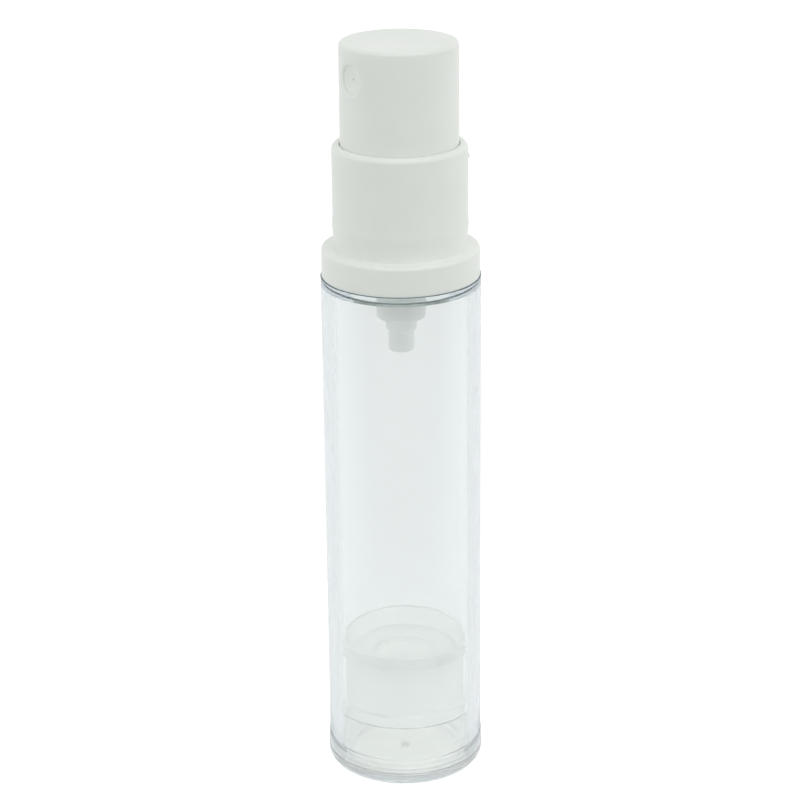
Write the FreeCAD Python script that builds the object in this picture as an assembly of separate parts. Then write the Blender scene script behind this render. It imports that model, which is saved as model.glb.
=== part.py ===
import FreeCAD, Part
import math
import os

from FreeCAD import Vector

# A small airless pump bottle: a clear tube with a follower piston under the product, and a pump
# that snaps onto its neck, with a button over it that holds the spray opening. Millimetres, +Z up.
# The origin lies on the ground, on the bottle's axis, and the spray opening faces -Y.

# Clear body: a straight tube with a slightly wider foot, a flat shoulder and a short neck
body_diameter = 22.0
body_wall = 1.95
body_length = 71.35          # from the base's rim up to the top of the shoulder
body_foot_height = 2.1
body_edge_round = 0.25
shoulder_thickness = 1.6
shoulder_inner_round = 0.3
neck_wall = 1.3
neck_height = 5.2
neck_bead_stand = 0.3
neck_bead_height = 1.2
neck_bead_rise = 2.4         # middle of the bead above the shoulder

# Base plug: closes the tube from below and has a vent for the follower
base_rim_stand = 0.17        # rim, and the tube's foot above it, beyond the tube's side
base_rim_height = 2.05
base_rim_round = 1.4
base_recess = 0.4            # hollow under the floor
plug_skirt_rise = 6.55       # top of the skirt above the rim
plug_skirt_wall = 0.8
plug_floor_thickness = 1.0
plug_clearance = 0.03
vent_diameter = 1.2

# Follower piston: rides up the tube as the product is used
follower_height = 10.9
follower_rest_gap = 0.05
follower_clearance = 0.04
follower_upper_land = 1.6
follower_lower_land = 1.5
follower_waist_depth = 0.5
follower_wall = 1.1
follower_deck_drop = 2.4     # deck below the piston's rim
pocket_mouth_diameter = 7.4
pocket_floor_diameter = 7.0
pocket_depth = 1.05

# Collar: snaps over the neck and holds the pump down; its sleeve takes an overcap
collar_flange_inset = 0.17   # flange behind the tube's side
collar_flange_height = 4.1
collar_flange_round = 0.5
collar_flange_wall = 0.9
collar_height = 18.4
sleeve_step = 1.8            # sleeve behind the tube's side
sleeve_wall = 1.07
sleeve_edge_round = 0.7
sleeve_bead_stand = 0.13
sleeve_bead_height = 2.6
sleeve_bead_rise = 7.4       # middle of the bead above the shoulder
collar_web_thickness = 1.2
web_hole_clearance = 0.2
snap_clearance = 0.05
nub_height = 0.9
nub_stand = 0.2
nub_drop = 1.7               # middle of the nub below the sleeve's top
nub_bearing = 50.0           # degrees from +X

# Neck gasket
gasket_thickness = 0.6
gasket_width = 1.5
gasket_edge_clearance = 0.1

# Pump housing: a flanged cylinder that hangs in the neck, with the inlet valve at its foot
pump_bore = 5.2
housing_wall = 0.8
housing_length = 11.75       # from the flange's underside to the end of the wide part
housing_floor = 1.2
housing_round = 0.5
housing_flange_thickness = 1.0
retainer_seat_rise = 0.6     # seat of the retainer above the flange's underside
cup_bore = 9.0
cup_wall = 0.8
cup_height = 2.2             # from the retainer's seat to the cup's rim
step_diameter = 4.36
step_length = 1.65
nipple_diameter = 3.56
nipple_length = 3.0
inlet_diameter = 1.4

# Inlet ball in its cage
ball_diameter = 2.38
ball_cage_clearance = 0.17
ball_seat_gap = 0.04
ball_lift = 0.8
ball_headroom = 0.1
ball_lip_height = 0.4
ball_lip_grip = 0.14         # how far the lip reaches over the ball

# Retainer: closes the housing and guides the stem
retainer_thickness = 1.1
retainer_clearance = 0.03
retainer_rim_wall = 0.7
retainer_hub_diameter = 5.0
retainer_hub_height = 1.5
guide_clearance = 0.05

# Stem: the hollow rod under the button
stem_diameter = 3.2
stem_bore = 1.8
stem_flange_diameter = 7.8
stem_flange_thickness = 1.0
stem_boss_diameter = 5.0
stem_boss_height = 0.8
spigot_diameter = 3.8
spigot_length = 3.2

# Sliding seal between the poppet and the stem
seal_height = 3.5
seal_headroom = 0.9          # free height under the retainer
seal_clearance = 0.03
seal_lip_height = 0.6
seal_waist_depth = 0.12
seal_skirt_wall = 0.35
seal_skirt_drop = 0.5        # skirt's top below the sleeve's top
seal_hub_bore = 2.5
seal_hub_wall = 0.5
seal_hub_rise = 0.3          # hub's lower face above the skirt's lower edge
seal_hub_height = 1.2
seal_web_thickness = 0.9
lost_motion = 0.6            # free travel of the seal before the stem drives it
lost_motion_gap = 0.1

# Poppet: pressed into the stem, closes the seal from below
poppet_head_diameter = 3.8
poppet_head_rim = 0.4
poppet_throat_diameter = 2.0
poppet_seat_gap = 0.03
poppet_shank_length = 4.0
poppet_clearance = 0.02
flute_diameter = 0.56
flute_count = 3

# Return spring between the retainer and the stem's flange
spring_length = 13.3
spring_diameter = 6.4        # at the middle of the wire
spring_wire = 0.55
spring_turns = 7
spring_closing_turns = 1     # turns of finer pitch at each end
spring_closing_gap = 0.45
spring_seat_gap = 0.02

# Button and its spray insert
button_clearance = 0.07      # in the sleeve
button_draft = 0.05          # loss of radius from the skirt's edge to the top
button_height = 18.3
button_wall = 1.0
button_top_wall = 1.3
button_edge_round = 0.5
button_rim_width = 0.9       # flat rim round the finger dish
button_dish_depth = 0.25
button_skirt_drop = 7.9      # skirt's edge below the socket's mouth
socket_wall = 1.3
socket_clearance = 0.05
socket_headroom = 0.2
socket_seat_gap = 0.02
button_rib_width = 0.8
button_rib_height = 5.0
nozzle_drop = 4.2            # spray axis below the button's top
nozzle_hole_diameter = 3.8
nozzle_boss_wall = 1.1
nozzle_hole_depth = 3.4
nozzle_post_diameter = 1.6
nozzle_post_length = 2.1
channel_diameter = 0.9
insert_clearance = 0.02
insert_recess = 0.55         # insert's face behind the button's side
insert_back_gap = 0.1
insert_wall = 0.58
insert_face_thickness = 0.7
insert_dish_depth = 0.4
insert_dish_diameter = 3.2
orifice_diameter = 0.5

# Shares and counts that shape the small details
bead_round_share = 0.4       # of a bead's height
flat_bead_round_share = 2.0
slope_share = 0.5            # height of a land's slope as a share of its radial step
overrun = 1.0                # how far cutters and fused bosses run past a face

# Levels, from the ground up
rim_top = base_rim_height
plug_top = rim_top + plug_skirt_rise
follower_bottom = plug_top + follower_rest_gap
follower_top = follower_bottom + follower_height
shoulder_top = rim_top + body_length
shoulder_underside = shoulder_top - shoulder_thickness
neck_top = shoulder_top + neck_height
housing_seat = neck_top + gasket_thickness
housing_flange_top = housing_seat + housing_flange_thickness
web_top = housing_flange_top + collar_web_thickness
sleeve_top = shoulder_top + collar_height
retainer_seat = housing_seat + retainer_seat_rise
spring_seat = retainer_seat + retainer_thickness
stem_flange_underside = spring_seat + spring_length
stem_flange_top = stem_flange_underside + stem_flange_thickness
socket_mouth = stem_flange_top + socket_seat_gap
button_bottom = socket_mouth - button_skirt_drop
button_top = button_bottom + button_height
spray_axis = button_top - nozzle_drop
wide_bottom = housing_seat - housing_length
bore_floor = wide_bottom + housing_floor
seal_top = retainer_seat - seal_headroom
seal_bottom = seal_top - seal_height
seal_hub_bottom = seal_bottom + seal_hub_rise
seal_hub_top = seal_hub_bottom + seal_hub_height
stem_bottom = seal_hub_top + lost_motion + lost_motion_gap

# Radii that several pieces share
body_radius = body_diameter / 2
rim_radius = body_radius + base_rim_stand
bore_radius = body_radius - body_wall
sleeve_radius = body_radius - sleeve_step
collar_bore_radius = sleeve_radius - sleeve_wall
neck_radius = collar_bore_radius - snap_clearance
neck_bore_radius = neck_radius - neck_wall
pump_radius = pump_bore / 2
cup_radius = cup_bore / 2
cup_outer_radius = cup_radius + cup_wall
stem_radius = stem_diameter / 2
ball_radius = ball_diameter / 2
button_radius = collar_bore_radius - button_clearance
nozzle_radius = nozzle_hole_diameter / 2

# The ball's seat is a 45 degree cone, so the ball touches it where its slope is the same
ball_cage_radius = ball_radius + ball_cage_clearance
ball_contact = ball_radius * math.sqrt(0.5)
ball_ceiling = bore_floor - ball_lip_height
ball_centre = ball_ceiling - ball_headroom - ball_lift - ball_radius
ball_seat_bottom = ball_centre - ball_seat_gap - 2 * ball_contact + inlet_diameter / 2


def outline_face(corners):
    """Flat face in the XZ plane; a corner is (radius, height) or (radius, height, rounding)."""
    points = [Vector(corner[0], 0, corner[1]) for corner in corners]
    entries = []
    exits = []
    arcs = []
    for index, corner in enumerate(corners):
        here = points[index]
        back = (points[index - 1] - here).normalize()
        ahead = (points[(index + 1) % len(points)] - here).normalize()
        if len(corner) < 3:
            entries.append(here)
            exits.append(here)
            arcs.append(None)
            continue
        half_angle = back.getAngle(ahead) / 2
        run = corner[2] / math.tan(half_angle)
        inward = (back + ahead).normalize()
        middle = here + inward * (corner[2] / math.sin(half_angle) - corner[2])
        entries.append(here + back * run)
        exits.append(here + ahead * run)
        arcs.append(Part.Arc(entries[-1], middle, exits[-1]).toShape())
    edges = []
    for index in range(len(points)):
        edges.append(Part.makeLine(exits[index - 1], entries[index]))
        if arcs[index]:
            edges.append(arcs[index])
    return Part.Face(Part.Wire(edges))


def turned(corners):
    """Solid turned about the Z axis from an outline."""
    return outline_face(corners).revolve(Vector(0, 0, 0), Vector(0, 0, 1), 360)


def bead(radius, middle, height, stand, round_share):
    """Corners of a raised ring on a wall, from its lower edge to its upper one."""
    return [
        (radius, middle - height / 2),
        (radius + stand, middle, height * round_share),
        (radius, middle + height / 2),
    ]


def bottle_body():
    neck_bead = bead(neck_radius, shoulder_top + neck_bead_rise, neck_bead_height,
                     neck_bead_stand, bead_round_share)
    foot_top = rim_top + body_foot_height
    return turned([
        (bore_radius, rim_top),
        (rim_radius, rim_top, body_edge_round),
        (rim_radius, foot_top),
        (body_radius, foot_top + base_rim_stand),
        (body_radius, shoulder_top, body_edge_round),
        (neck_radius, shoulder_top),
        *neck_bead,
        (neck_radius, neck_top, body_edge_round),
        (neck_bore_radius, neck_top),
        (neck_bore_radius, shoulder_underside),
        (bore_radius, shoulder_underside, shoulder_inner_round),
    ])


def base_plug():
    plug_radius = bore_radius - plug_clearance
    inner_radius = plug_radius - plug_skirt_wall
    floor_top = base_recess + plug_floor_thickness
    return turned([
        (inner_radius, 0),
        (rim_radius, 0, base_rim_round),
        (rim_radius, rim_top, body_edge_round),
        (plug_radius, rim_top),
        (plug_radius, plug_top),
        (inner_radius, plug_top),
        (inner_radius, floor_top),
        (vent_diameter / 2, floor_top),
        (vent_diameter / 2, base_recess),
        (inner_radius, base_recess),
    ])


def follower_piston():
    lip_radius = bore_radius - follower_clearance
    waist_radius = lip_radius - follower_waist_depth
    inner_radius = waist_radius - follower_wall
    slope = follower_waist_depth * slope_share
    upper_land_bottom = follower_top - follower_upper_land
    lower_land_top = follower_bottom + follower_lower_land
    deck = follower_top - follower_deck_drop
    pocket_floor = deck - pocket_depth
    mouth_radius = pocket_mouth_diameter / 2
    floor_radius = pocket_floor_diameter / 2
    return turned([
        (inner_radius, follower_bottom),
        (lip_radius, follower_bottom),
        (lip_radius, lower_land_top),
        (waist_radius, lower_land_top + slope),
        (waist_radius, upper_land_bottom - slope),
        (lip_radius, upper_land_bottom),
        (lip_radius, follower_top),
        (lip_radius - follower_wall / 2, follower_top),
        (inner_radius, deck, follower_wall / 2),
        (mouth_radius, deck),
        (floor_radius, pocket_floor),
        (0, pocket_floor),
        (0, pocket_floor - follower_wall),
        (floor_radius + follower_wall, pocket_floor - follower_wall),
        (mouth_radius + follower_wall, deck - follower_wall),
        (inner_radius, deck - follower_wall),
    ])


def collar():
    flange_radius = body_radius - collar_flange_inset
    flange_top = shoulder_top + collar_flange_height
    groove_top = flange_top - collar_flange_wall
    web_hole_radius = cup_outer_radius + web_hole_clearance
    snap_recess = bead(collar_bore_radius, shoulder_top + neck_bead_rise, neck_bead_height,
                       neck_bead_stand, bead_round_share)
    cap_bead = bead(sleeve_radius, shoulder_top + sleeve_bead_rise, sleeve_bead_height,
                    sleeve_bead_stand, flat_bead_round_share)
    shell = turned([
        (collar_bore_radius, shoulder_top),
        (sleeve_radius, shoulder_top),
        (sleeve_radius, groove_top),
        (flange_radius - collar_flange_wall, groove_top),
        (flange_radius - collar_flange_wall, shoulder_top),
        (flange_radius, shoulder_top),
        (flange_radius, flange_top, collar_flange_round),
        (sleeve_radius, flange_top),
        *cap_bead,
        (sleeve_radius, sleeve_top, sleeve_edge_round),
        (collar_bore_radius, sleeve_top),
        (collar_bore_radius, web_top),
        (web_hole_radius, web_top),
        (web_hole_radius, housing_flange_top),
        (collar_bore_radius, housing_flange_top),
        *reversed(snap_recess),
    ])
    # A spherical cap of the stated height and stand, half sunk in the sleeve's wall
    nub_radius = ((nub_height / 2) ** 2 + nub_stand ** 2) / (2 * nub_stand)
    nub_reach = sleeve_radius + nub_stand - nub_radius
    bearing = math.radians(nub_bearing)
    nub_middle = Vector(nub_reach * math.cos(bearing), nub_reach * math.sin(bearing), sleeve_top - nub_drop)
    return shell.fuse(Part.makeSphere(nub_radius, nub_middle))


def neck_gasket():
    outer_radius = neck_radius - gasket_edge_clearance
    return turned([
        (outer_radius - gasket_width, neck_top),
        (outer_radius, neck_top),
        (outer_radius, housing_seat),
        (outer_radius - gasket_width, housing_seat),
    ])


def pump_housing():
    flange_radius = neck_radius - gasket_edge_clearance
    wide_radius = pump_radius + housing_wall
    step_bottom = wide_bottom - step_length
    nipple_bottom = step_bottom - nipple_length
    inlet_radius = inlet_diameter / 2
    cone_top = ball_seat_bottom + ball_cage_radius - inlet_radius
    lip_radius = ball_radius - ball_lip_grip
    return turned([
        (cup_radius, retainer_seat),
        (cup_radius, retainer_seat + cup_height),
        (cup_outer_radius, retainer_seat + cup_height),
        (cup_outer_radius, housing_flange_top),
        (flange_radius, housing_flange_top),
        (flange_radius, housing_seat),
        (wide_radius, housing_seat, housing_round),
        (wide_radius, wide_bottom, housing_round),
        (step_diameter / 2, wide_bottom),
        (step_diameter / 2, step_bottom),
        (nipple_diameter / 2, step_bottom),
        (nipple_diameter / 2, nipple_bottom),
        (inlet_radius, nipple_bottom),
        (inlet_radius, ball_seat_bottom),
        (ball_cage_radius, cone_top),
        (ball_cage_radius, ball_ceiling),
        (lip_radius, ball_ceiling),
        (lip_radius, bore_floor),
        (pump_radius, bore_floor),
        (pump_radius, retainer_seat),
    ])


def inlet_ball():
    return Part.makeSphere(ball_radius, Vector(0, 0, ball_centre))


def retainer():
    outer_radius = cup_radius - retainer_clearance
    guide_radius = stem_radius + guide_clearance
    rim_top_level = retainer_seat + cup_height
    hub_radius = retainer_hub_diameter / 2
    hub_top = spring_seat + retainer_hub_height
    return turned([
        (guide_radius, retainer_seat),
        (outer_radius, retainer_seat),
        (outer_radius, rim_top_level),
        (outer_radius - retainer_rim_wall, rim_top_level),
        (outer_radius - retainer_rim_wall, spring_seat),
        (hub_radius, spring_seat),
        (hub_radius, hub_top),
        (guide_radius, hub_top),
    ])


def stem():
    boss_bottom = stem_flange_underside - stem_boss_height
    return turned([
        (stem_bore / 2, stem_bottom),
        (stem_radius, stem_bottom),
        (stem_radius, boss_bottom),
        (stem_boss_diameter / 2, boss_bottom),
        (stem_boss_diameter / 2, stem_flange_underside),
        (stem_flange_diameter / 2, stem_flange_underside),
        (stem_flange_diameter / 2, stem_flange_top),
        (spigot_diameter / 2, stem_flange_top),
        (spigot_diameter / 2, stem_flange_top + spigot_length),
        (stem_bore / 2, stem_flange_top + spigot_length),
    ])


def pump_piston():
    lip_radius = pump_radius - seal_clearance
    waist_radius = lip_radius - seal_waist_depth
    skirt_inner_radius = lip_radius - seal_skirt_wall
    skirt_top = seal_top - seal_skirt_drop
    slope = seal_waist_depth * slope_share
    hub_radius = seal_hub_bore / 2
    sleeve_inner_radius = stem_radius + guide_clearance
    sleeve_outer_radius = sleeve_inner_radius + seal_skirt_wall
    web_bottom = seal_hub_top - seal_web_thickness
    return turned([
        (hub_radius, seal_hub_bottom),
        (hub_radius + seal_hub_wall, seal_hub_bottom),
        (hub_radius + seal_hub_wall, web_bottom),
        (skirt_inner_radius, web_bottom),
        (skirt_inner_radius, seal_bottom),
        (lip_radius, seal_bottom),
        (lip_radius, seal_bottom + seal_lip_height),
        (waist_radius, seal_bottom + seal_lip_height + slope),
        (waist_radius, skirt_top - seal_lip_height - slope),
        (lip_radius, skirt_top - seal_lip_height),
        (lip_radius, skirt_top),
        (skirt_inner_radius, skirt_top),
        (skirt_inner_radius, seal_hub_top),
        (sleeve_outer_radius, seal_hub_top),
        (sleeve_outer_radius, seal_top),
        (sleeve_inner_radius, seal_top),
        (sleeve_inner_radius, seal_hub_top),
        (hub_radius, seal_hub_top),
    ])


def poppet():
    throat_radius = poppet_throat_diameter / 2
    head_radius = poppet_head_diameter / 2
    shank_radius = stem_bore / 2 - poppet_clearance
    # The head's 45 degree cone meets the seal's hub at the edge of its bore
    cone_top = seal_hub_bottom - poppet_seat_gap + seal_hub_bore / 2 - throat_radius
    cone_bottom = cone_top - head_radius + throat_radius
    shank_top = stem_bottom + poppet_shank_length
    body = turned([
        (0, cone_bottom - poppet_head_rim),
        (head_radius, cone_bottom - poppet_head_rim),
        (head_radius, cone_bottom),
        (throat_radius, cone_top),
        (throat_radius, seal_hub_top),
        (shank_radius, seal_hub_top),
        (shank_radius, shank_top),
        (0, shank_top),
    ])
    flute_length = shank_top - seal_hub_top + overrun
    for index in range(flute_count):
        angle = 2 * math.pi * index / flute_count
        foot = Vector(shank_radius * math.cos(angle), shank_radius * math.sin(angle), seal_hub_top)
        body = body.cut(Part.makeCylinder(flute_diameter / 2, flute_length, foot))
    return body


def spring_height(turn, coil_pitch, closing_pitch):
    """Height gained by the wire's middle after so many turns."""
    closing = min(turn, spring_closing_turns) + max(0, turn - spring_turns + spring_closing_turns)
    return closing * closing_pitch + (turn - closing) * coil_pitch


def arc_from_corner(start, corner, end):
    """Arc that leaves start towards corner and arrives at end from it."""
    middle = (start + end) / 2
    half_chord = (end - start).Length / 2
    leg = (corner - start).Length
    depth = (corner - middle).Length
    sagitta = half_chord * (leg - half_chord) / depth
    return Part.Arc(start, middle + (corner - middle) * (sagitta / depth), end).toShape()


def biarc(start, start_way, end, end_way):
    """Two arcs that leave and arrive along the given unit directions and meet smoothly."""
    span = end - start
    ways = start_way + end_way
    bend = 4 - ways.dot(ways)
    drift = span.dot(ways)
    leg = (math.sqrt(drift ** 2 + bend * span.dot(span)) - drift) / bend
    first_corner = start + start_way * leg
    last_corner = end - end_way * leg
    meeting = (first_corner + last_corner) / 2
    return [arc_from_corner(start, first_corner, meeting), arc_from_corner(meeting, last_corner, end)]


def return_spring():
    coil_radius = spring_diameter / 2
    closing_pitch = spring_wire + spring_closing_gap
    free_height = spring_length - spring_wire - spring_seat_gap
    plain_turns = spring_turns - 2 * spring_closing_turns
    coil_pitch = (free_height - 2 * spring_closing_turns * closing_pitch) / plain_turns
    first_height = spring_seat + spring_wire / 2
    steps = range(2 * spring_turns + 1)
    places = []
    ways = []
    for step in steps:
        angle = math.pi * step
        rise = spring_height(step / 2, coil_pitch, closing_pitch)
        closed = min(step, 2 * spring_turns - step) < 2 * spring_closing_turns
        pitch = closing_pitch if closed else coil_pitch
        places.append(Vector(coil_radius * math.cos(angle), coil_radius * math.sin(angle), first_height + rise))
        way = Vector(-coil_radius * math.sin(angle), coil_radius * math.cos(angle), pitch / (2 * math.pi))
        ways.append(way.normalize())
    edges = []
    for step in steps[:-1]:
        edges += biarc(places[step], ways[step], places[step + 1], ways[step + 1])
    path = Part.Wire(edges)
    section = Part.Wire(Part.makeCircle(spring_wire / 2, places[0], ways[0]))
    sweep = Part.BRepOffsetAPI.MakePipeShell(path)
    sweep.add(section)
    sweep.build()
    sweep.makeSolid()
    print("return_spring: least gap between turns", round(least_turn_gap(edges), 3))
    return sweep.shape()


def least_turn_gap(edges):
    """Least free gap between points of the wire that lie at least half a turn apart."""
    samples_per_arc = 12
    points = []
    for edge in edges:
        points += edge.discretize(samples_per_arc)[:-1]
    half_turn = 2 * samples_per_arc
    gaps = []
    for index, point in enumerate(points):
        gaps += [(other - point).Length for other in points[index + half_turn:]]
    return min(gaps) - spring_wire


def actuator_button():
    top_radius = button_radius - button_draft
    ceiling = button_top - button_top_wall
    socket_radius = spigot_diameter / 2 + socket_clearance
    boss_radius = socket_radius + socket_wall
    socket_top = stem_flange_top + spigot_length + socket_headroom
    shell = turned([
        (button_radius - button_wall, button_bottom),
        (button_radius, button_bottom),
        (top_radius, button_top, button_edge_round),
        (top_radius - button_rim_width, button_top, button_rim_width),
        (0, button_top - button_dish_depth),
        (0, ceiling),
        (top_radius - button_wall, ceiling),
    ])
    outward = Vector(0, -1, 0)
    boss_height = ceiling + button_top_wall / 2 - socket_mouth
    boss = Part.makeCylinder(boss_radius, boss_height, Vector(0, 0, socket_mouth))
    nozzle_boss = Part.makeCylinder(nozzle_radius + nozzle_boss_wall, button_radius - button_wall / 2,
                                    Vector(0, 0, spray_axis), outward)
    body = shell.fuse([boss, nozzle_boss] + button_ribs(ceiling))
    pocket_floor = button_radius - nozzle_hole_depth
    pocket = Part.makeCylinder(nozzle_radius, nozzle_hole_depth + overrun,
                               Vector(0, -pocket_floor, spray_axis), outward)
    post = Part.makeCylinder(nozzle_post_diameter / 2, nozzle_post_length,
                             Vector(0, -pocket_floor, spray_axis), outward)
    socket = Part.makeCylinder(socket_radius, socket_top - socket_mouth + overrun,
                               Vector(0, 0, socket_mouth - overrun))
    channel_drop = (nozzle_radius + nozzle_post_diameter / 2) / 2 - insert_wall / 2
    channel = Part.makeCylinder(channel_diameter / 2, pocket_floor + overrun,
                                Vector(0, 0, spray_axis - channel_drop), outward)
    riser = Part.makeCylinder(channel_diameter / 2, spray_axis - channel_drop - socket_mouth,
                              Vector(0, 0, socket_mouth))
    return body.cut([pocket.cut(post), socket, channel.cut(post), riser])


def button_ribs(ceiling):
    """Ribs from the socket's boss to the skirt, on the three sides without the nozzle."""
    rib_length = button_radius - button_wall / 2
    ribs = []
    for bearing in (0, 90, 180):
        rib = Part.makeBox(rib_length, button_rib_width, button_rib_height,
                           Vector(0, -button_rib_width / 2, ceiling - button_rib_height))
        rib.rotate(Vector(0, 0, 0), Vector(0, 0, 1), bearing)
        ribs.append(rib)
    return ribs


def nozzle_insert():
    outer_radius = nozzle_radius - insert_clearance
    inner_radius = outer_radius - insert_wall
    face = button_radius - insert_recess
    back = button_radius - nozzle_hole_depth + insert_back_gap
    inside = face - insert_face_thickness
    orifice_radius = orifice_diameter / 2
    cup = turned([
        (orifice_radius, inside),
        (inner_radius, inside),
        (inner_radius, back),
        (outer_radius, back),
        (outer_radius, face),
        (insert_dish_diameter / 2, face),
        (orifice_radius, face - insert_dish_depth),
    ])
    cup.rotate(Vector(0, 0, 0), Vector(1, 0, 0), 90)
    cup.translate(Vector(0, 0, spray_axis))
    return cup


pieces = [
    bottle_body, base_plug, follower_piston, collar, neck_gasket, pump_housing, inlet_ball,
    retainer, stem, pump_piston, poppet, return_spring, actuator_button, nozzle_insert,
]

os.makedirs("parts", exist_ok=True)
for make in pieces:
    solid = make()
    solid.exportStep(os.path.join("parts", make.__name__ + ".step"))
    print(make.__name__, "valid" if solid.isValid() else "NOT VALID", round(solid.Volume, 2), "mm3")
print("overall height", round(button_top, 2))
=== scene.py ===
# %% [markdown]
# # An airless pump bottle
# A slim clear tube stands on a clear base. A follower piston closes the product in from below, and a
# white collar on top holds a small pump with a push button. The frame brings the solids, bodies and
# joints. This lesson gives the part its visible surfaces, its finishes, a light and a camera. Light
# crosses many clear walls on its way, so it may bounce more often than usual.

import math

import bmesh
import bpy
from mathutils import Matrix, Vector


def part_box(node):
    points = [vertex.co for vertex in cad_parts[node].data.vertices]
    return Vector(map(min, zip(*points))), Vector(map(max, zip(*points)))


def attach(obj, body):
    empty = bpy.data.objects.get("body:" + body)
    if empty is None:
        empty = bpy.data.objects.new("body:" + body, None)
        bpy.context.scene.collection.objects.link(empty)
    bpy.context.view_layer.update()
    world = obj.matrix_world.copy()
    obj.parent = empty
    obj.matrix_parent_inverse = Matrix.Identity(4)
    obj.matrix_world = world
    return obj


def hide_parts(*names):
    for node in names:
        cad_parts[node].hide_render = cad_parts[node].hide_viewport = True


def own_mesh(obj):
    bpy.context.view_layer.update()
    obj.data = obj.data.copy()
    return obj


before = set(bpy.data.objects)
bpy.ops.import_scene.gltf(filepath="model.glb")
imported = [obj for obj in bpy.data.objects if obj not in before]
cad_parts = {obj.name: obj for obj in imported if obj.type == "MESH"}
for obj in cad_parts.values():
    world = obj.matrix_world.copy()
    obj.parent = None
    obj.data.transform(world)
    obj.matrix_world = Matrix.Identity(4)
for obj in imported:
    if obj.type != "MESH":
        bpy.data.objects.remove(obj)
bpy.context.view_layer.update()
MM = 0.001
scene = bpy.context.scene
scene.view_settings.view_transform = "Standard"
scene.cycles.max_bounces = 40
scene.cycles.diffuse_bounces = 16
scene.cycles.glossy_bounces = 24
scene.cycles.transmission_bounces = 40
scene.cycles.blur_glossy = 0.0

# %% [markdown]
# ## Camera
# The picture was taken from about a third of a metre, a little above the bottle, with a long lens.
# Its pitch and distance follow from how the ellipses of the collar and the base open, and the lens
# from the width of the tube. The bearing is counted from the side with the spray opening.

# %% Camera
IMAGE_SIDE = 800
FOCAL_PIXELS = 2422
VIEW_BEARING = math.radians(54)
VIEW_PITCH = math.radians(20.64)
VIEW_ROLL = math.radians(-0.588)
VIEW_DISTANCE = 337.3 * MM
AIM_HEIGHT = 54.92 * MM
AIM_ASIDE = 0.291 * MM

bearing_turn = Matrix.Rotation(VIEW_BEARING, 4, "Z")
toward_camera = bearing_turn @ Vector((0, -math.cos(VIEW_PITCH), math.sin(VIEW_PITCH)))
aim = Vector((0, 0, AIM_HEIGHT)) - bearing_turn @ Vector((AIM_ASIDE, 0, 0))
camera_data = bpy.data.cameras.new("camera")
camera_data.lens = camera_data.sensor_width * FOCAL_PIXELS / IMAGE_SIDE
camera = bpy.data.objects.new("camera", camera_data)
camera.matrix_world = (
    Matrix.Translation(aim + toward_camera * VIEW_DISTANCE)
    @ bearing_turn
    @ Matrix.Rotation(math.pi / 2 - VIEW_PITCH, 4, "X")
    @ Matrix.Rotation(VIEW_ROLL, 4, "Z")
)
scene.collection.objects.link(camera)
scene.camera = camera
camera_place = [round(value / MM, 1) for value in camera.matrix_world.translation]
print("camera at", camera_place, "lens", camera_data.lens)

# %% [markdown]
# ## Sockets as values
# A finish is a small graph of nodes. Written as arithmetic it reads like a recipe, so one class wraps
# a socket: + - * on it add Math nodes, and its node method adds any other node.


# %% Sockets as values
class Socket:
    """An output of a node tree. Arithmetic on it adds Math nodes."""

    def __init__(self, tree, output=None):
        self.tree = tree
        self.output = output

    def node(self, kind, settings=None, inputs=None, output=0):
        """A new node: its settings come first, then the values or links of its sockets."""
        new = self.tree.nodes.new(kind)
        for name, value in (settings or {}).items():
            setattr(new, name, value)
        for key, value in (inputs or {}).items():
            if isinstance(value, Socket):
                self.tree.links.new(value.output, new.inputs[key])
            else:
                new.inputs[key].default_value = value
        return Socket(self.tree, new.outputs[output] if new.outputs else None)

    def math(self, operation, *values):
        """A Math node on values or sockets."""
        return self.node("ShaderNodeMath", {"operation": operation}, dict(enumerate(values)))

    def __add__(self, other):
        return self.math("ADD", self, other)

    def __sub__(self, other):
        return self.math("SUBTRACT", self, other)

    def __rsub__(self, other):
        return self.math("SUBTRACT", other, self)

    def __mul__(self, other):
        return self.math("MULTIPLY", self, other)

    __radd__ = __add__
    __rmul__ = __mul__

    def between(self, start, end):
        """0 below start, 1 above end, and a smooth rise between them."""
        ends = {"Value": self, "From Min": start, "From Max": end}
        return self.node("ShaderNodeMapRange", {"interpolation_type": "SMOOTHSTEP"}, ends)

    def tint(self, colour, other_colour):
        """The first colour where this value is 0 and the other where it is 1."""
        sockets = {0: self, 6: (*colour, 1), 7: (*other_colour, 1)}
        return self.node("ShaderNodeMix", {"data_type": "RGBA"}, sockets, 2)


def new_tree(owner):
    """An empty node tree of a material or a world, as the start of its sockets."""
    owner.use_nodes = True
    owner.node_tree.nodes.clear()
    return Socket(owner.node_tree)


# %% [markdown]
# ## Light
# The bottle stands in a white tent, so light comes from everywhere and shadows are faint. The tent is
# brightest near the ground and dims towards its top and towards the camera, and one soft box hangs over
# the camera. That box is what keeps the level rims bright while the upright walls below them fall off.
# A world can do all this: it shines by direction, and the camera itself sees it as plain white.

# %% Light
TENT_LEVEL = 1.09        # light from the tent's back and sides, near the ground
TENT_TOP_DIM = 0.54      # how much less comes from straight above
TENT_FRONT_DIM = 0.31    # how much less comes from the camera's side
BOX_LEVEL = 0.94         # what the soft box adds in its middle
BOX_TURN = Matrix.Rotation(math.radians(12), 4, "Z")
BOX_HEIGHT = math.radians(55)

tent = bpy.data.worlds.new("tent")
scene.world = tent
start = new_tree(tent)
direction = start.node("ShaderNodeTexCoord", output="Generated")
level_front = bearing_turn @ Vector((0, -1, 0))
box_way = bearing_turn @ BOX_TURN @ Vector((0, -math.cos(BOX_HEIGHT), math.sin(BOX_HEIGHT)))


def along(start, way, vector):
    """The part of a vector that points along a way."""
    return start.node("ShaderNodeVectorMath", {"operation": "DOT_PRODUCT"}, {0: vector, 1: way}, "Value")


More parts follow.
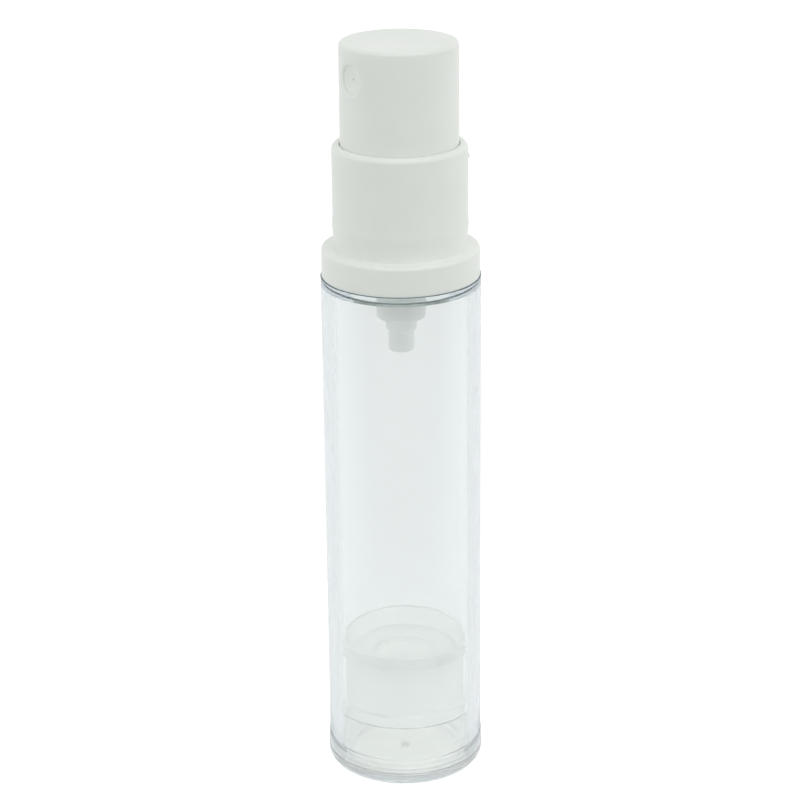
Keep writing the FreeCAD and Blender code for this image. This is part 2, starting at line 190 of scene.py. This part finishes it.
top_dim = TENT_TOP_DIM * along(start, (0, 0, 1), direction).between(0.0, 1.0)
front_dim = TENT_FRONT_DIM * along(start, level_front, direction).between(0.0, 0.9)
box = BOX_LEVEL * along(start, box_way, direction).between(0.65, 0.95)
room = TENT_LEVEL - top_dim - front_dim + box
seen = start.node("ShaderNodeLightPath", output="Is Camera Ray")
strength = seen + (1 - seen) * room
background = start.node("ShaderNodeBackground", inputs={"Color": (1, 1, 1, 1), "Strength": strength})
start.node("ShaderNodeOutputWorld", inputs={"Surface": background})
print("tent light at", TENT_LEVEL)

# %% [markdown]
# ## Floor
# The floor is the same white as the tent. Part of that white is a glow, so that the camera and the
# clear walls see it as background, and part is a plain diffuse white, which takes the shadow. Before
# the bottle the floor is darker, as the tent is open there.

# %% Floor
FLOOR_RADIUS = 1.6
FLOOR_DROP = 0.02 * MM
FLOOR_GLOW = 0.62
FLOOR_SEEN = 0.2         # what the camera sees on top of the glow
FLOOR_FRONT_DIM = 0.8    # share of the glow that the bottle misses from the floor before it
FLOOR_DIM_FROM = -0.02   # where the floor starts to get darker, in metres towards the camera
FLOOR_DIM_TO = 0.08
FLOOR_WHITE = 0.45

bm = bmesh.new()
below = Matrix.Translation((0, 0, -FLOOR_DROP))
bmesh.ops.create_circle(bm, cap_ends=True, radius=FLOOR_RADIUS, segments=96, matrix=below)
floor_mesh = bpy.data.meshes.new("floor")
bm.to_mesh(floor_mesh)
bm.free()
floor = bpy.data.objects.new("floor", floor_mesh)
scene.collection.objects.link(floor)

floor_white = bpy.data.materials.new("floor white")
start = new_tree(floor_white)
seen = start.node("ShaderNodeLightPath", output="Is Camera Ray")
spot = start.node("ShaderNodeTexCoord", output="Object")
front = along(start, level_front, spot).between(FLOOR_DIM_FROM, FLOOR_DIM_TO)
strength = FLOOR_GLOW * (1 - FLOOR_FRONT_DIM * front * (1 - seen)) + FLOOR_SEEN * seen
glow = start.node("ShaderNodeEmission", inputs={"Strength": strength})
matt = start.node("ShaderNodeBsdfDiffuse", inputs={"Color": (FLOOR_WHITE,) * 3 + (1,)})
both = start.node("ShaderNodeAddShader", inputs={0: glow, 1: matt})
start.node("ShaderNodeOutputMaterial", inputs={"Surface": both})
floor_mesh.materials.append(floor_white)
print("floor radius", FLOOR_RADIUS, "m")

# %% [markdown]
# ## White moulding
# The collar and the button are white polypropylene from a polished mould. Up close such a surface has
# a very fine grain, a gloss that changes a little from place to place, and a faint cloudiness where
# the melt flowed together. Noise in four sizes gives these, on the object's own coordinates.

# %% White moulding
CLOUD_SIZE = 9 * MM
MOTTLE_SIZE = 0.8 * MM
SKIN_SIZE = 0.09 * MM
FLOW_SIZE = 2.2 * MM
RELIEF_DEPTH = 0.02 * MM
SCATTER_DEPTH = 0.5 * MM
SHELL_WHITE = (0.80, 0.84, 0.79)
SHELL_CLOUD = (0.83, 0.865, 0.82)


def place(start):
    """The object's own coordinates, so that a finish moves with its piece."""
    return start.node("ShaderNodeTexCoord", output="Object")


def grain(start, size, detail=2.0, where=None):
    """Noise from 0 to 1 with features of about that size in metres."""
    sockets = {"Vector": where or place(start), "Scale": 1 / size, "Detail": detail, "Roughness": 0.55}
    return start.node("ShaderNodeTexNoise", inputs=sockets)


def bumped(start, height, strength, depth):
    """Normals for a relief of that height map; depth is its full depth in metres."""
    return start.node("ShaderNodeBump", inputs={"Height": height, "Strength": strength, "Distance": depth})


def white_moulding(name, colour, cloud_colour, gloss, relief):
    """A white finish that drifts between two colours; gloss is its least roughness."""
    material = bpy.data.materials.new(name)
    start = new_tree(material)
    clouds = grain(start, CLOUD_SIZE, 3.0)
    mottle = grain(start, MOTTLE_SIZE)
    skin = grain(start, SKIN_SIZE)
    flow = grain(start, FLOW_SIZE, 4.0)
    sockets = {
        "Base Color": clouds.between(0.3, 0.7).tint(colour, cloud_colour),
        "Roughness": gloss + 0.12 * mottle + 0.06 * clouds,
        "IOR": 1.49,
        "Subsurface Weight": 0.12,
        "Subsurface Radius": (1.0, 1.0, 0.9),
        "Subsurface Scale": SCATTER_DEPTH,
        "Normal": bumped(start, skin * 0.4 + flow, relief, RELIEF_DEPTH),
    }
    surface = start.node("ShaderNodeBsdfPrincipled", inputs=sockets)
    start.node("ShaderNodeOutputMaterial", inputs={"Surface": surface})
    return material


outer_white = white_moulding("outer white", SHELL_WHITE, SHELL_CLOUD, gloss=0.28, relief=0.25)
insert_white = white_moulding("insert white", SHELL_WHITE, SHELL_CLOUD, gloss=0.24, relief=0.15)
inner_white = white_moulding("inner white", (0.90, 0.915, 0.895), (0.92, 0.935, 0.915),
                             gloss=0.38, relief=0.35)
seal_white = white_moulding("seal white", (0.74, 0.76, 0.74), (0.80, 0.81, 0.79), gloss=0.45, relief=0.4)
gasket_white = white_moulding("gasket white", (0.66, 0.66, 0.63), (0.72, 0.72, 0.69), gloss=0.6, relief=0.8)
print("white finishes: 5")

# %% [markdown]
# ## Clear plastic
# The tube is clear styrene plastic: polished, with a refractive index near 1.57, and a few fine rub
# marks along its length from handling. The base is the same plastic with more haze, and the follower
# is milky polyethylene. All three are one recipe with other numbers. A clear wall casts next to no
# shadow, so each of its surfaces lets most of the light by to what lies behind it.

# %% Clear plastic
STAIN = (0.25, 0.50, 0.64)
CLEAR_PASS = 0.89        # share of the light that a clear surface lets by
RUB_SIZE = 0.35 * MM
RUB_STRETCH = 0.12       # rub marks are longer upwards by one over this
WORN_SIZE = 14 * MM
WAVE_SIZE = 6 * MM


def clear_plastic(name, colour, rubbed_colour, gloss, rub, refraction, clearness, relief, depth):
    """A clear finish; depth is the way through the plastic on which its stain shows."""
    material = bpy.data.materials.new(name)
    start = new_tree(material)
    stretch = start.node("ShaderNodeMapping", inputs={"Vector": place(start), "Scale": (1, 1, RUB_STRETCH)})
    rubs = grain(start, RUB_SIZE, 5.0, stretch).between(0.58, 0.8)
    patches = grain(start, WORN_SIZE)
    waves = grain(start, WAVE_SIZE, 1.0)
    wear = rubs * patches.between(0.35, 0.75)
    sockets = {
        "Base Color": wear.tint(colour, rubbed_colour),
        "Roughness": gloss + rub * wear,
        "IOR": refraction,
        "Transmission Weight": clearness,
        "Normal": bumped(start, waves, relief, RELIEF_DEPTH),
    }
    surface = start.node("ShaderNodeBsdfPrincipled", inputs=sockets)
    shadow = start.node("ShaderNodeLightPath", output="Is Shadow Ray")
    through = start.node("ShaderNodeBsdfTransparent", inputs={"Color": (CLEAR_PASS,) * 3 + (1,)})
    lit = start.node("ShaderNodeMixShader", inputs={0: shadow, 1: surface, 2: through})
    inside = start.node("ShaderNodeVolumeAbsorption", inputs={"Color": (*STAIN, 1), "Density": 1 / depth})
    start.node("ShaderNodeOutputMaterial", inputs={"Surface": lit, "Volume": inside})
    return material


TUBE_TINT = (0.972, 0.976, 0.960)
BASE_TINT = (0.957, 0.952, 0.932)
RUBBED = (0.962, 0.966, 0.950)
MILK = (0.985, 0.985, 0.97)
STYRENE = 1.57           # refractive indices
POLYETHYLENE = 1.51
clear_tube = clear_plastic("clear tube", TUBE_TINT, RUBBED, gloss=0.012, rub=0.04, refraction=STYRENE,
                           clearness=0.95, relief=0.006, depth=24 * MM)
clear_base = clear_plastic("clear base", BASE_TINT, RUBBED, gloss=0.08, rub=0.12, refraction=STYRENE,
                           clearness=0.8, relief=0.1, depth=45 * MM)
milky = clear_plastic("milky polyethylene", MILK, TUBE_TINT, gloss=0.32, rub=0.15, refraction=POLYETHYLENE,
                      clearness=0.62, relief=0.3, depth=100 * MM)
print("clear finishes: 3")

# %% [markdown]
# ## Turned pieces
# Nearly every piece of the bottle is round. Its outline is a handful of corners, some of them rounded,
# and a spin about the axis makes the surface. Rounding the corners before the spin costs one vertex
# bevel each. A weighted normal modifier then keeps the long straight walls straight in their shading,
# which matters for a clear wall.

# %% Turned pieces
TURN_STEPS = 192
SMALL_TURN_STEPS = 96
ROUND_STEPS = 6
WELD = 0.0005 * MM
SHARP = math.radians(35)


def radius(node):
    """The largest radius of a CAD node about the bottle's axis."""
    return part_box(node)[1].x


def foot(node):
    """The lowest height of a CAD node."""
    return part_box(node)[0].z


def top(node):
    """The greatest height of a CAD node."""
    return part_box(node)[1].z


def outline(corners):
    """A wire of (radius, height) or (radius, height, rounding) corners; it stays open on the axis."""
    bm = bmesh.new()
    points = [bm.verts.new((corner[0], 0, corner[1])) for corner in corners]
    ahead = points[1:] + points[:1]
    for here, there in zip(points, ahead):
        if here.co.x > 0 or there.co.x > 0:
            bm.edges.new((here, there))
    for point, corner in zip(points, corners):
        if len(corner) > 2:
            ways = [edge.other_vert(point).co - point.co for edge in point.link_edges]
            run = corner[2] / math.tan(ways[0].angle(ways[1]) / 2)
            bmesh.ops.bevel(bm, geom=[point], offset=run, offset_type="OFFSET", segments=ROUND_STEPS,
                            profile=0.5, affect="VERTICES", material=-1, clamp_overlap=False)
    return bm


def turn(bm, steps=TURN_STEPS):
    """Spins the outline once round the Z axis and closes the seam and the poles."""
    bmesh.ops.spin(bm, geom=bm.verts[:] + bm.edges[:], cent=(0, 0, 0), axis=(0, 0, 1), dvec=(0, 0, 0),
                   angle=2 * math.pi, steps=steps, use_merge=True, use_duplicate=False)
    bmesh.ops.remove_doubles(bm, verts=bm.verts[:], dist=WELD)
    bmesh.ops.recalc_face_normals(bm, faces=bm.faces[:])
    return bm


def turned(corners, steps=TURN_STEPS):
    """The closed surface that an outline sweeps out."""
    return turn(outline(corners), steps)


def finished(name, bm, finish, body, slot, *nodes):
    """Makes the mesh a smooth shaded piece that rides on a body and stands for its CAD nodes."""
    for edge in bm.edges:
        edge.smooth = edge.calc_face_angle(0) < SHARP
    for face in bm.faces:
        face.smooth = True
    open_edges = sum(not edge.is_manifold for edge in bm.edges)
    mesh = bpy.data.meshes.new(name)
    bm.to_mesh(mesh)
    bm.free()
    mesh.materials.append(finish)
    piece = bpy.data.objects.new(name, mesh)
    scene.collection.objects.link(piece)
    even = piece.modifiers.new("even shading", "WEIGHTED_NORMAL")
    even.keep_sharp = True
    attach(piece, body)
    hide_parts(*nodes)
    print(name, len(mesh.polygons), "faces", open_edges, "open edges")
    return piece


# %% [markdown]
# ## Clear tube
# The tube is one moulding: a straight wall of nearly two millimetres, a slightly wider foot that tapers
# to a small step, a flat shoulder and a short neck with a bead for the collar. Its edges are rounded,
# because on clear plastic it is the edges that show.

# %% Clear tube
EDGE = 0.12 * MM         # the usual rounding of a moulded edge
CRISP = EDGE / 3         # where two halves of a mould meet
foot_radius = radius("bottle_body")
foot_stand = 0.17 * MM
tube_radius = foot_radius - foot_stand
tube_foot = foot("bottle_body")
foot_top = tube_foot + 2.1 * MM
foot_step = 0.06 * MM
shoulder_top = foot("collar")
neck_top = top("bottle_body")
tube_bore = tube_radius - 1.95 * MM
shoulder_underside = shoulder_top - 1.6 * MM
neck_radius = radius("neck_gasket") + 0.1 * MM
neck_bore = neck_radius - 1.3 * MM
neck_bead = shoulder_top + 2.4 * MM
bead_half = 0.6 * MM
bead_stand = 0.3 * MM

clear_wall = turned([
    (tube_bore, tube_foot, CRISP),
    (foot_radius, tube_foot, 2 * EDGE),
    (tube_radius + foot_step, foot_top, CRISP),
    (tube_radius, foot_top + foot_step, CRISP),
    (tube_radius, shoulder_top, CRISP),
    (neck_radius, shoulder_top, EDGE),
    (neck_radius, neck_bead - bead_half),
    (neck_radius + bead_stand, neck_bead, 4 * EDGE),
    (neck_radius, neck_bead + bead_half),
    (neck_radius, neck_top, 2 * EDGE),
    (neck_bore, neck_top, EDGE),
    (neck_bore, shoulder_underside, 2 * EDGE),
    (tube_bore, shoulder_underside, CRISP),
])
finished("clear_tube", clear_wall, clear_tube, "bottle", "clear_body", "bottle_body")

# %% [markdown]
# ## Base
# The base is pressed into the tube from below. Its rim is as wide as the tube's foot, and the rounded
# edges of both leave a fine groove between them. Its skirt goes up inside the bore, and its floor has a
# small vent, so that air can follow the piston.

# %% Base
PARTING = 0.03 * MM       # the fine gap that shows as a line where two mouldings meet
rim_radius = radius("base_plug")
rim_top = tube_foot - PARTING
skirt_top = top("base_plug")
skirt_radius = tube_bore - PARTING
skirt_inner = skirt_radius - 0.8 * MM
base_floor_underside = 0.4 * MM
base_floor = base_floor_underside + 1.0 * MM
vent_radius = 0.6 * MM
heel_round = 1.4 * MM

cup = turned([
    (skirt_inner, 0, EDGE),
    (rim_radius, 0, heel_round),
    (rim_radius, rim_top, 2 * EDGE),
    (skirt_radius, rim_top, CRISP),
    (skirt_radius, skirt_top, EDGE),
    (skirt_inner, skirt_top, EDGE),
    (skirt_inner, base_floor, 2 * EDGE),
    (vent_radius, base_floor, EDGE),
    (vent_radius, base_floor_underside, EDGE),
    (skirt_inner, base_floor_underside, 2 * EDGE),
])
finished("base_cup", cup, clear_base, "bottle", "clear_base", "base_plug")

# %% [markdown]
# ## Follower
# The follower is a milky cup with two sealing lips. Its deck is lowered and has a pocket in the middle
# for the foot of the pump, so that little product is left behind at the end of its way.

# %% Follower
lip_radius = radius("follower_piston")
follower_foot = foot("follower_piston")
follower_top = top("follower_piston")
waist_radius = lip_radius - 0.5 * MM
follower_wall = 1.1 * MM
follower_inner = waist_radius - follower_wall
deck = follower_top - 2.4 * MM
pocket_floor = deck - 1.05 * MM
pocket_mouth = 3.7 * MM
pocket_foot = 3.5 * MM
upper_lip = follower_top - 1.6 * MM
lower_lip = follower_foot + 1.5 * MM
lip_slope = 0.25 * MM

follower_cup = turned([
    (0, pocket_floor),
    (pocket_foot, pocket_floor, 2 * EDGE),
    (pocket_mouth, deck, 2 * EDGE),
    (follower_inner, deck, 3 * EDGE),
    (lip_radius - follower_wall / 2, follower_top, EDGE),
    (lip_radius, follower_top, EDGE),
    (lip_radius, upper_lip, EDGE),
    (waist_radius, upper_lip - lip_slope, EDGE),
    (waist_radius, lower_lip + lip_slope, EDGE),
    (lip_radius, lower_lip, EDGE),
    (lip_radius, follower_foot, EDGE),
    (follower_inner, follower_foot, EDGE),
    (follower_inner, deck - follower_wall, 2 * EDGE),
    (pocket_mouth + follower_wall, deck - follower_wall, EDGE),
    (pocket_foot + follower_wall, pocket_floor - follower_wall, EDGE),
    (0, pocket_floor - follower_wall),
])
finished("follower_cup", follower_cup, milky, "follower", "natural_polyethylene", "follower_piston")

# %% [markdown]
# ## Collar
# The collar snaps over the neck. A flange sits on the shoulder, and above it a sleeve guides the button
# and takes an overcap, which a low bead and one small nub hold. The nub is a flat dome, so a sphere
# that stands out of the wall by a fraction of a millimetre makes it.

# %% Collar
flange_radius = radius("collar")
flange_top = shoulder_top + 4.1 * MM
sleeve_top = top("collar")
sleeve_radius = tube_radius - 1.8 * MM
collar_bore = sleeve_radius - 1.07 * MM
flange_wall = 0.9 * MM
flange_round = 0.5 * MM
sleeve_round = 0.7 * MM
cap_bead = shoulder_top + 7.4 * MM
cap_bead_half = 1.3 * MM
cap_bead_stand = 0.13 * MM
cap_bead_round = 5.0 * MM
web_underside = top("pump_housing") - 1.8 * MM
web_top = web_underside + 1.2 * MM
web_hole = 5.5 * MM

shell = turned([
    (collar_bore, shoulder_top + PARTING, EDGE),
    (sleeve_radius, shoulder_top + PARTING),
    (sleeve_radius, flange_top - flange_wall),
    (flange_radius - flange_wall, flange_top - flange_wall),
    (flange_radius - flange_wall, shoulder_top + PARTING),
    (flange_radius, shoulder_top + PARTING, EDGE / 2),
    (flange_radius, flange_top, flange_round),
    (sleeve_radius, flange_top, EDGE),
    (sleeve_radius, cap_bead - cap_bead_half),
    (sleeve_radius + cap_bead_stand, cap_bead, cap_bead_round),
    (sleeve_radius, cap_bead + cap_bead_half),
    (sleeve_radius, sleeve_top, sleeve_round),
    (collar_bore, sleeve_top, EDGE),
    (collar_bore, web_top, EDGE),
    (web_hole, web_top, EDGE),
    (web_hole, web_underside),
    (collar_bore, web_underside),
    (collar_bore, neck_bead + bead_half),
    (collar_bore + bead_stand, neck_bead, 4 * EDGE),
    (collar_bore, neck_bead - bead_half),
])
nub_half = 0.45 * MM
nub_stand = 0.2 * MM
nub_radius = (nub_half ** 2 + nub_stand ** 2) / (2 * nub_stand)
nub_height = sleeve_top - 1.7 * MM
nub_bearing = Matrix.Rotation(math.radians(50), 4, "Z")
nub_place = nub_bearing @ Matrix.Translation((sleeve_radius + nub_stand - nub_radius, 0, nub_height))
bmesh.ops.create_uvsphere(shell, u_segments=32, v_segments=24, radius=nub_radius, matrix=nub_place)
finished("collar_shell", shell, outer_white, "bottle", "white_plastic", "collar")

# %% [markdown]
# ## Button
# The button is a cap with a soft top edge. The spray opening in its side has a rounded lip, which a
# spin alone can't give. So the wall gets finer rows there, a square patch is taken out, and its border
# is extruded ring by ring, over the lip and into the hole. Each ring is rolled onto the round wall.

# %% Button
button_radius = radius("actuator_button")
button_foot = foot("actuator_button")
button_top = top("actuator_button")
button_wall = 1.0 * MM
button_draft = 0.05 * MM
ceiling = button_top - 1.3 * MM
rim_round = 0.5 * MM
rim_width = 0.9 * MM
dish_depth = 0.25 * MM
dish_round = 20 * MM
spray_axis = (foot("nozzle_insert") + top("nozzle_insert")) / 2
insert_fit = 0.02 * MM
hole_radius = top("nozzle_insert") - spray_axis + insert_fit
lip_width = 0.5 * MM
lip_slope_end = math.radians(48)
lip_round = lip_width / math.sin(lip_slope_end)
lip_depth = lip_round * (1 - math.cos(lip_slope_end))
hole_depth = 3.4 * MM
BUTTON_STEPS = 144
PATCH_STEPS = 16
PATCH_HALF = 2.7 * MM


def wall_radius(height):
    """The button's radius at a height; its wall leans inwards by the draft."""
    return button_radius - button_draft * (height - button_foot) / (button_top - button_foot)


def next_ring(bm, loop, ring_radius, depth):
    """Extrudes a loop to a circle round the spray axis that is rolled onto the wall and sunk into it."""
    grown = bmesh.ops.extrude_edge_only(bm, edges=loop)["geom"]
    for point in grown:
        if isinstance(point, bmesh.types.BMVert):
            way = Vector((point.co.x, point.co.z - spray_axis)).normalized() * ring_radius
            height = spray_axis + way.y
            point.co = (way.x, depth - math.sqrt(wall_radius(height) ** 2 - way.x ** 2), height)
    return [edge for edge in grown if isinstance(edge, bmesh.types.BMEdge) and edge.is_boundary]


cap = outline([
    (0, ceiling),
    (button_radius - button_draft - button_wall, ceiling, 4 * EDGE),
    (button_radius - button_wall, button_foot, EDGE),
    (button_radius, button_foot, 2 * EDGE),
    (wall_radius(spray_axis - PATCH_HALF), spray_axis - PATCH_HALF),
    (wall_radius(spray_axis + PATCH_HALF), spray_axis + PATCH_HALF),
    (button_radius - button_draft, button_top, rim_round),
    (button_radius - button_draft - rim_width, button_top, dish_round),
    (0, button_top - dish_depth),
])
rows = [edge for edge in cap.edges
        if all(abs(abs(point.co.z - spray_axis) - PATCH_HALF) < WELD for point in edge.verts)]
bmesh.ops.subdivide_edges(cap, edges=rows, cuts=PATCH_STEPS - 1)
turn(cap, BUTTON_STEPS)
patch_angle = math.pi * PATCH_STEPS / BUTTON_STEPS
patch = []
for face in cap.faces:
    middle = face.calc_center_median()
    outside = middle.xy.length > button_radius - button_wall / 2
    ahead = abs(math.atan2(middle.x, -middle.y)) < patch_angle
    if outside and ahead and abs(middle.z - spray_axis) < PATCH_HALF:
        patch.append(face)
bmesh.ops.delete(cap, geom=patch, context="FACES")
loop = [edge for edge in cap.edges if edge.is_boundary]
for step in range(ROUND_STEPS + 1):
    angle = lip_slope_end * step / ROUND_STEPS
    ring_radius = hole_radius + lip_width - lip_round * math.sin(angle)
    loop = next_ring(cap, loop, ring_radius, lip_round * (1 - math.cos(angle)))
loop = next_ring(cap, loop, hole_radius, hole_depth)
bmesh.ops.contextual_create(cap, geom=loop)
bmesh.ops.recalc_face_normals(cap, faces=cap.faces[:])
print("patch of", len(patch), "faces taken out")

# %% [markdown]
# Under the cap a socket takes the stem, and three ribs tie it to the wall. They are closed shells of
# their own that run a little into the cap, as nobody can see where white plastic joins white plastic.

# %% Button's socket and ribs
socket_mouth = button_foot + 7.9 * MM
socket_radius = 1.95 * MM
socket_outer = socket_radius + 1.3 * MM
socket_root = ceiling + 0.6 * MM
socket_depth = socket_mouth + 3.38 * MM
rib_width = 0.8 * MM
rib_height = 5.0 * MM

socket_tube = turned([
    (0, socket_root),
    (socket_outer, socket_root),
    (socket_outer, socket_mouth, EDGE),
    (socket_radius, socket_mouth, EDGE),
    (socket_radius, socket_depth, EDGE),
    (0, socket_depth),
], SMALL_TURN_STEPS)
rib_start = socket_outer - button_wall / 2
rib_end = button_radius - button_wall / 2
rib_size = Matrix.Diagonal((rib_end - rib_start, rib_width, rib_height, 1))
rib_middle = Matrix.Translation(((rib_start + rib_end) / 2, 0, ceiling - rib_height / 2))
for bearing in (0, 90, 180):
    spoke = Matrix.Rotation(math.radians(bearing), 4, "Z") @ rib_middle @ rib_size
    bmesh.ops.create_cube(socket_tube, size=1, matrix=spoke)
inside = bpy.data.meshes.new("button inside")
socket_tube.to_mesh(inside)
socket_tube.free()
cap.from_mesh(inside)
bpy.data.meshes.remove(inside)
finished("push_button", cap, outer_white, "button", "white_plastic", "actuator_button")

# %% [markdown]
# ## Spray insert
# A small cup is pressed into the hole. Its face goes on where the lip ends, and both make one soft
# hollow with the orifice at its bottom. The cup is turned like the rest and tipped so that its axis
# points out of the button, and its face is bent to follow the button's round wall.

# %% Spray insert
insert_radius = top("nozzle_insert") - spray_axis
insert_face = wall_radius(spray_axis) - lip_depth - insert_fit
insert_floor = insert_face - 1.0 * MM
insert_back = -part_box("nozzle_insert")[1].y
insert_inner = insert_radius - 0.58 * MM
orifice_radius = 0.13 * MM
hollow_depth = 0.42 * MM
hollow_round = 1.2 * MM
HOLLOW_FALL = 0.9        # share of the hollow's depth that is reached half-way in

spray_cup = turned([
    (orifice_radius, insert_floor),
    (insert_inner, insert_floor, EDGE),
    (insert_inner, insert_back),
    (insert_radius, insert_back, EDGE),
    (insert_radius, insert_face, EDGE / 4),
    (insert_radius / 2, insert_face - HOLLOW_FALL * hollow_depth, hollow_round),
    (orifice_radius, insert_face - hollow_depth, EDGE / 2),
], SMALL_TURN_STEPS)
tipped = Matrix.Translation((0, 0, spray_axis)) @ Matrix.Rotation(math.pi / 2, 4, "X")
bmesh.ops.transform(spray_cup, matrix=tipped, verts=spray_cup.verts[:])
bend_radius = wall_radius(spray_axis)
for point in spray_cup.verts:
    if -point.co.y > insert_face - 2 * hollow_depth:
        point.co.y += bend_radius - math.sqrt(bend_radius ** 2 - point.co.x ** 2)
finished("spray_insert", spray_cup, insert_white, "button", "white_insert", "nozzle_insert")

# %% [markdown]
# ## Pump housing
# The housing hangs in the neck: a flange and a cup above, a cylinder below it, and a stepped foot with
# the inlet. Only the foot shows through the tube. The rest is there for whoever takes the bottle apart.

# %% Pump housing
housing_top = top("pump_housing")
housing_foot = foot("pump_housing")
housing_flange = radius("pump_housing")
flange_seat = web_underside - 1.0 * MM
cup_radius = 4.5 * MM
cup_outer = 5.3 * MM
retainer_seat = foot("retainer")
pump_bore = 2.6 * MM
pump_outer = 3.4 * MM
step_top = housing_foot + 4.65 * MM
step_foot = housing_foot + 3.0 * MM
step_radius = 2.18 * MM
nipple_radius = 1.78 * MM
inlet_radius = 0.7 * MM
bore_floor = step_top + 1.2 * MM
ball_radius = radius("inlet_ball")
ball_middle = (foot("inlet_ball") + top("inlet_ball")) / 2
cage_radius = ball_radius + 0.17 * MM
cage_mouth = ball_radius - 0.14 * MM
cage_ceiling = bore_floor - 0.4 * MM
HOUSING_STEPS = 128
seat_foot = ball_middle - 0.04 * MM - math.sqrt(2) * ball_radius + inlet_radius

housing = turned([
    (cup_radius, retainer_seat),
    (cup_radius, housing_top, EDGE),
    (cup_outer, housing_top, EDGE),
    (cup_outer, web_underside, EDGE),
    (housing_flange, web_underside, EDGE),
    (housing_flange, flange_seat, EDGE),
    (pump_outer, flange_seat, 4 * EDGE),
    (pump_outer, step_top, 4 * EDGE),
    (step_radius, step_top, EDGE),
    (step_radius, step_foot, 2 * EDGE),
    (nipple_radius, step_foot, EDGE),
    (nipple_radius, housing_foot, 1.5 * EDGE),
    (inlet_radius, housing_foot, EDGE),
    (inlet_radius, seat_foot),
    (cage_radius, seat_foot + cage_radius - inlet_radius),
    (cage_radius, cage_ceiling),
    (cage_mouth, cage_ceiling),
    (cage_mouth, bore_floor, EDGE),
    (pump_bore, bore_floor, EDGE),
    (pump_bore, retainer_seat),
], HOUSING_STEPS)
finished("pump_barrel", housing, inner_white, "bottle", "inner_white", "pump_housing")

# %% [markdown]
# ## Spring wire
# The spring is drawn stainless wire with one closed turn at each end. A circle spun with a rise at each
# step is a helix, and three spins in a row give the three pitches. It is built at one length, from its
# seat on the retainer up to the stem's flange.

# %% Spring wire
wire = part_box("return_spring")
wire_radius = 0.275 * MM
coil_radius = 3.2 * MM
seat_height = top("retainer") - 1.5 * MM
stem_flange = 94.2 * MM
spring_length = stem_flange - seat_height
spring_slack = 0.02 * MM
plain_turns = 5
closing_rise = 1.0 * MM  # of the one closed turn at each end
plain_rise = spring_length - 2 * wire_radius - spring_slack - 2 * closing_rise
TURN_FACETS = 40
WIRE_SIDES = 14

coil = bmesh.new()
upright = Matrix.Rotation(math.pi / 2, 4, "X")
wire_start = Matrix.Translation((coil_radius, 0, seat_height + wire_radius)) @ upright
end = bmesh.ops.create_circle(coil, radius=wire_radius, segments=WIRE_SIDES, matrix=wire_start)["verts"]
end = end + list({edge for point in end for edge in point.link_edges})
for rise, spin_turns in ((closing_rise, 1), (plain_rise, plain_turns), (closing_rise, 1)):
    steps = TURN_FACETS * spin_turns
    lift = (0, 0, rise / steps)
    spun = bmesh.ops.spin(coil, geom=end, cent=(0, 0, 0), axis=(0, 0, 1), dvec=lift,
                          angle=2 * math.pi * spin_turns, steps=steps, use_merge=False, use_duplicate=False)
    end = [item for item in spun["geom_last"] if not isinstance(item, bmesh.types.BMFace)]
bmesh.ops.holes_fill(coil, edges=[edge for edge in coil.edges if edge.is_boundary], sides=0)
bmesh.ops.recalc_face_normals(coil, faces=coil.faces[:])

LINE_SIZE = 0.25 * MM
LINE_DEPTH = 0.005 * MM
drawn_steel = bpy.data.materials.new("drawn steel")
start = new_tree(drawn_steel)
drag = start.node("ShaderNodeMapping", inputs={"Vector": place(start), "Scale": (1, 1, 6)})
lines = grain(start, LINE_SIZE, 4.0, drag)
sockets = {
    "Base Color": lines.tint((0.50, 0.50, 0.49), (0.66, 0.66, 0.65)),
    "Metallic": 1.0,
    "Roughness": 0.22 + 0.18 * lines,
    "Normal": bumped(start, lines, 0.2, LINE_DEPTH),
}
surface = start.node("ShaderNodeBsdfPrincipled", inputs=sockets)
start.node("ShaderNodeOutputMaterial", inputs={"Surface": surface})
spring = finished("spring_wire", coil, drawn_steel, "bottle", "spring_steel", "return_spring")
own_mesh(spring)
print("spring from", round(wire[0].z / MM, 2), "to", round(wire[1].z / MM, 2), "mm in the frame")

# %% [markdown]
# ## Pieces that keep their CAD surface
# The stem, the sliding seal, the poppet, the retainer, the gasket and the ball are hidden in the pump.
# Their solids are already right, so they only get finishes. The ball is glass with a fine frost.

# %% Finishes of the hidden pieces
SODA_GLASS = 1.52
ball_glass = clear_plastic("ball glass", (0.86, 0.92, 0.90), (0.80, 0.86, 0.84), gloss=0.04, rub=0.2,
                           refraction=SODA_GLASS, clearness=0.95, relief=0.05, depth=50 * MM)
hidden_finishes = {
    "stem": inner_white,
    "retainer": inner_white,
    "pump_piston": seal_white,
    "poppet": seal_white,
    "neck_gasket": gasket_white,
    "inlet_ball": ball_glass,
}
for name, finish in hidden_finishes.items():
    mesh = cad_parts[name].data
    mesh.materials.clear()
    mesh.materials.append(finish)
print("hidden pieces with a finish:", len(hidden_finishes))
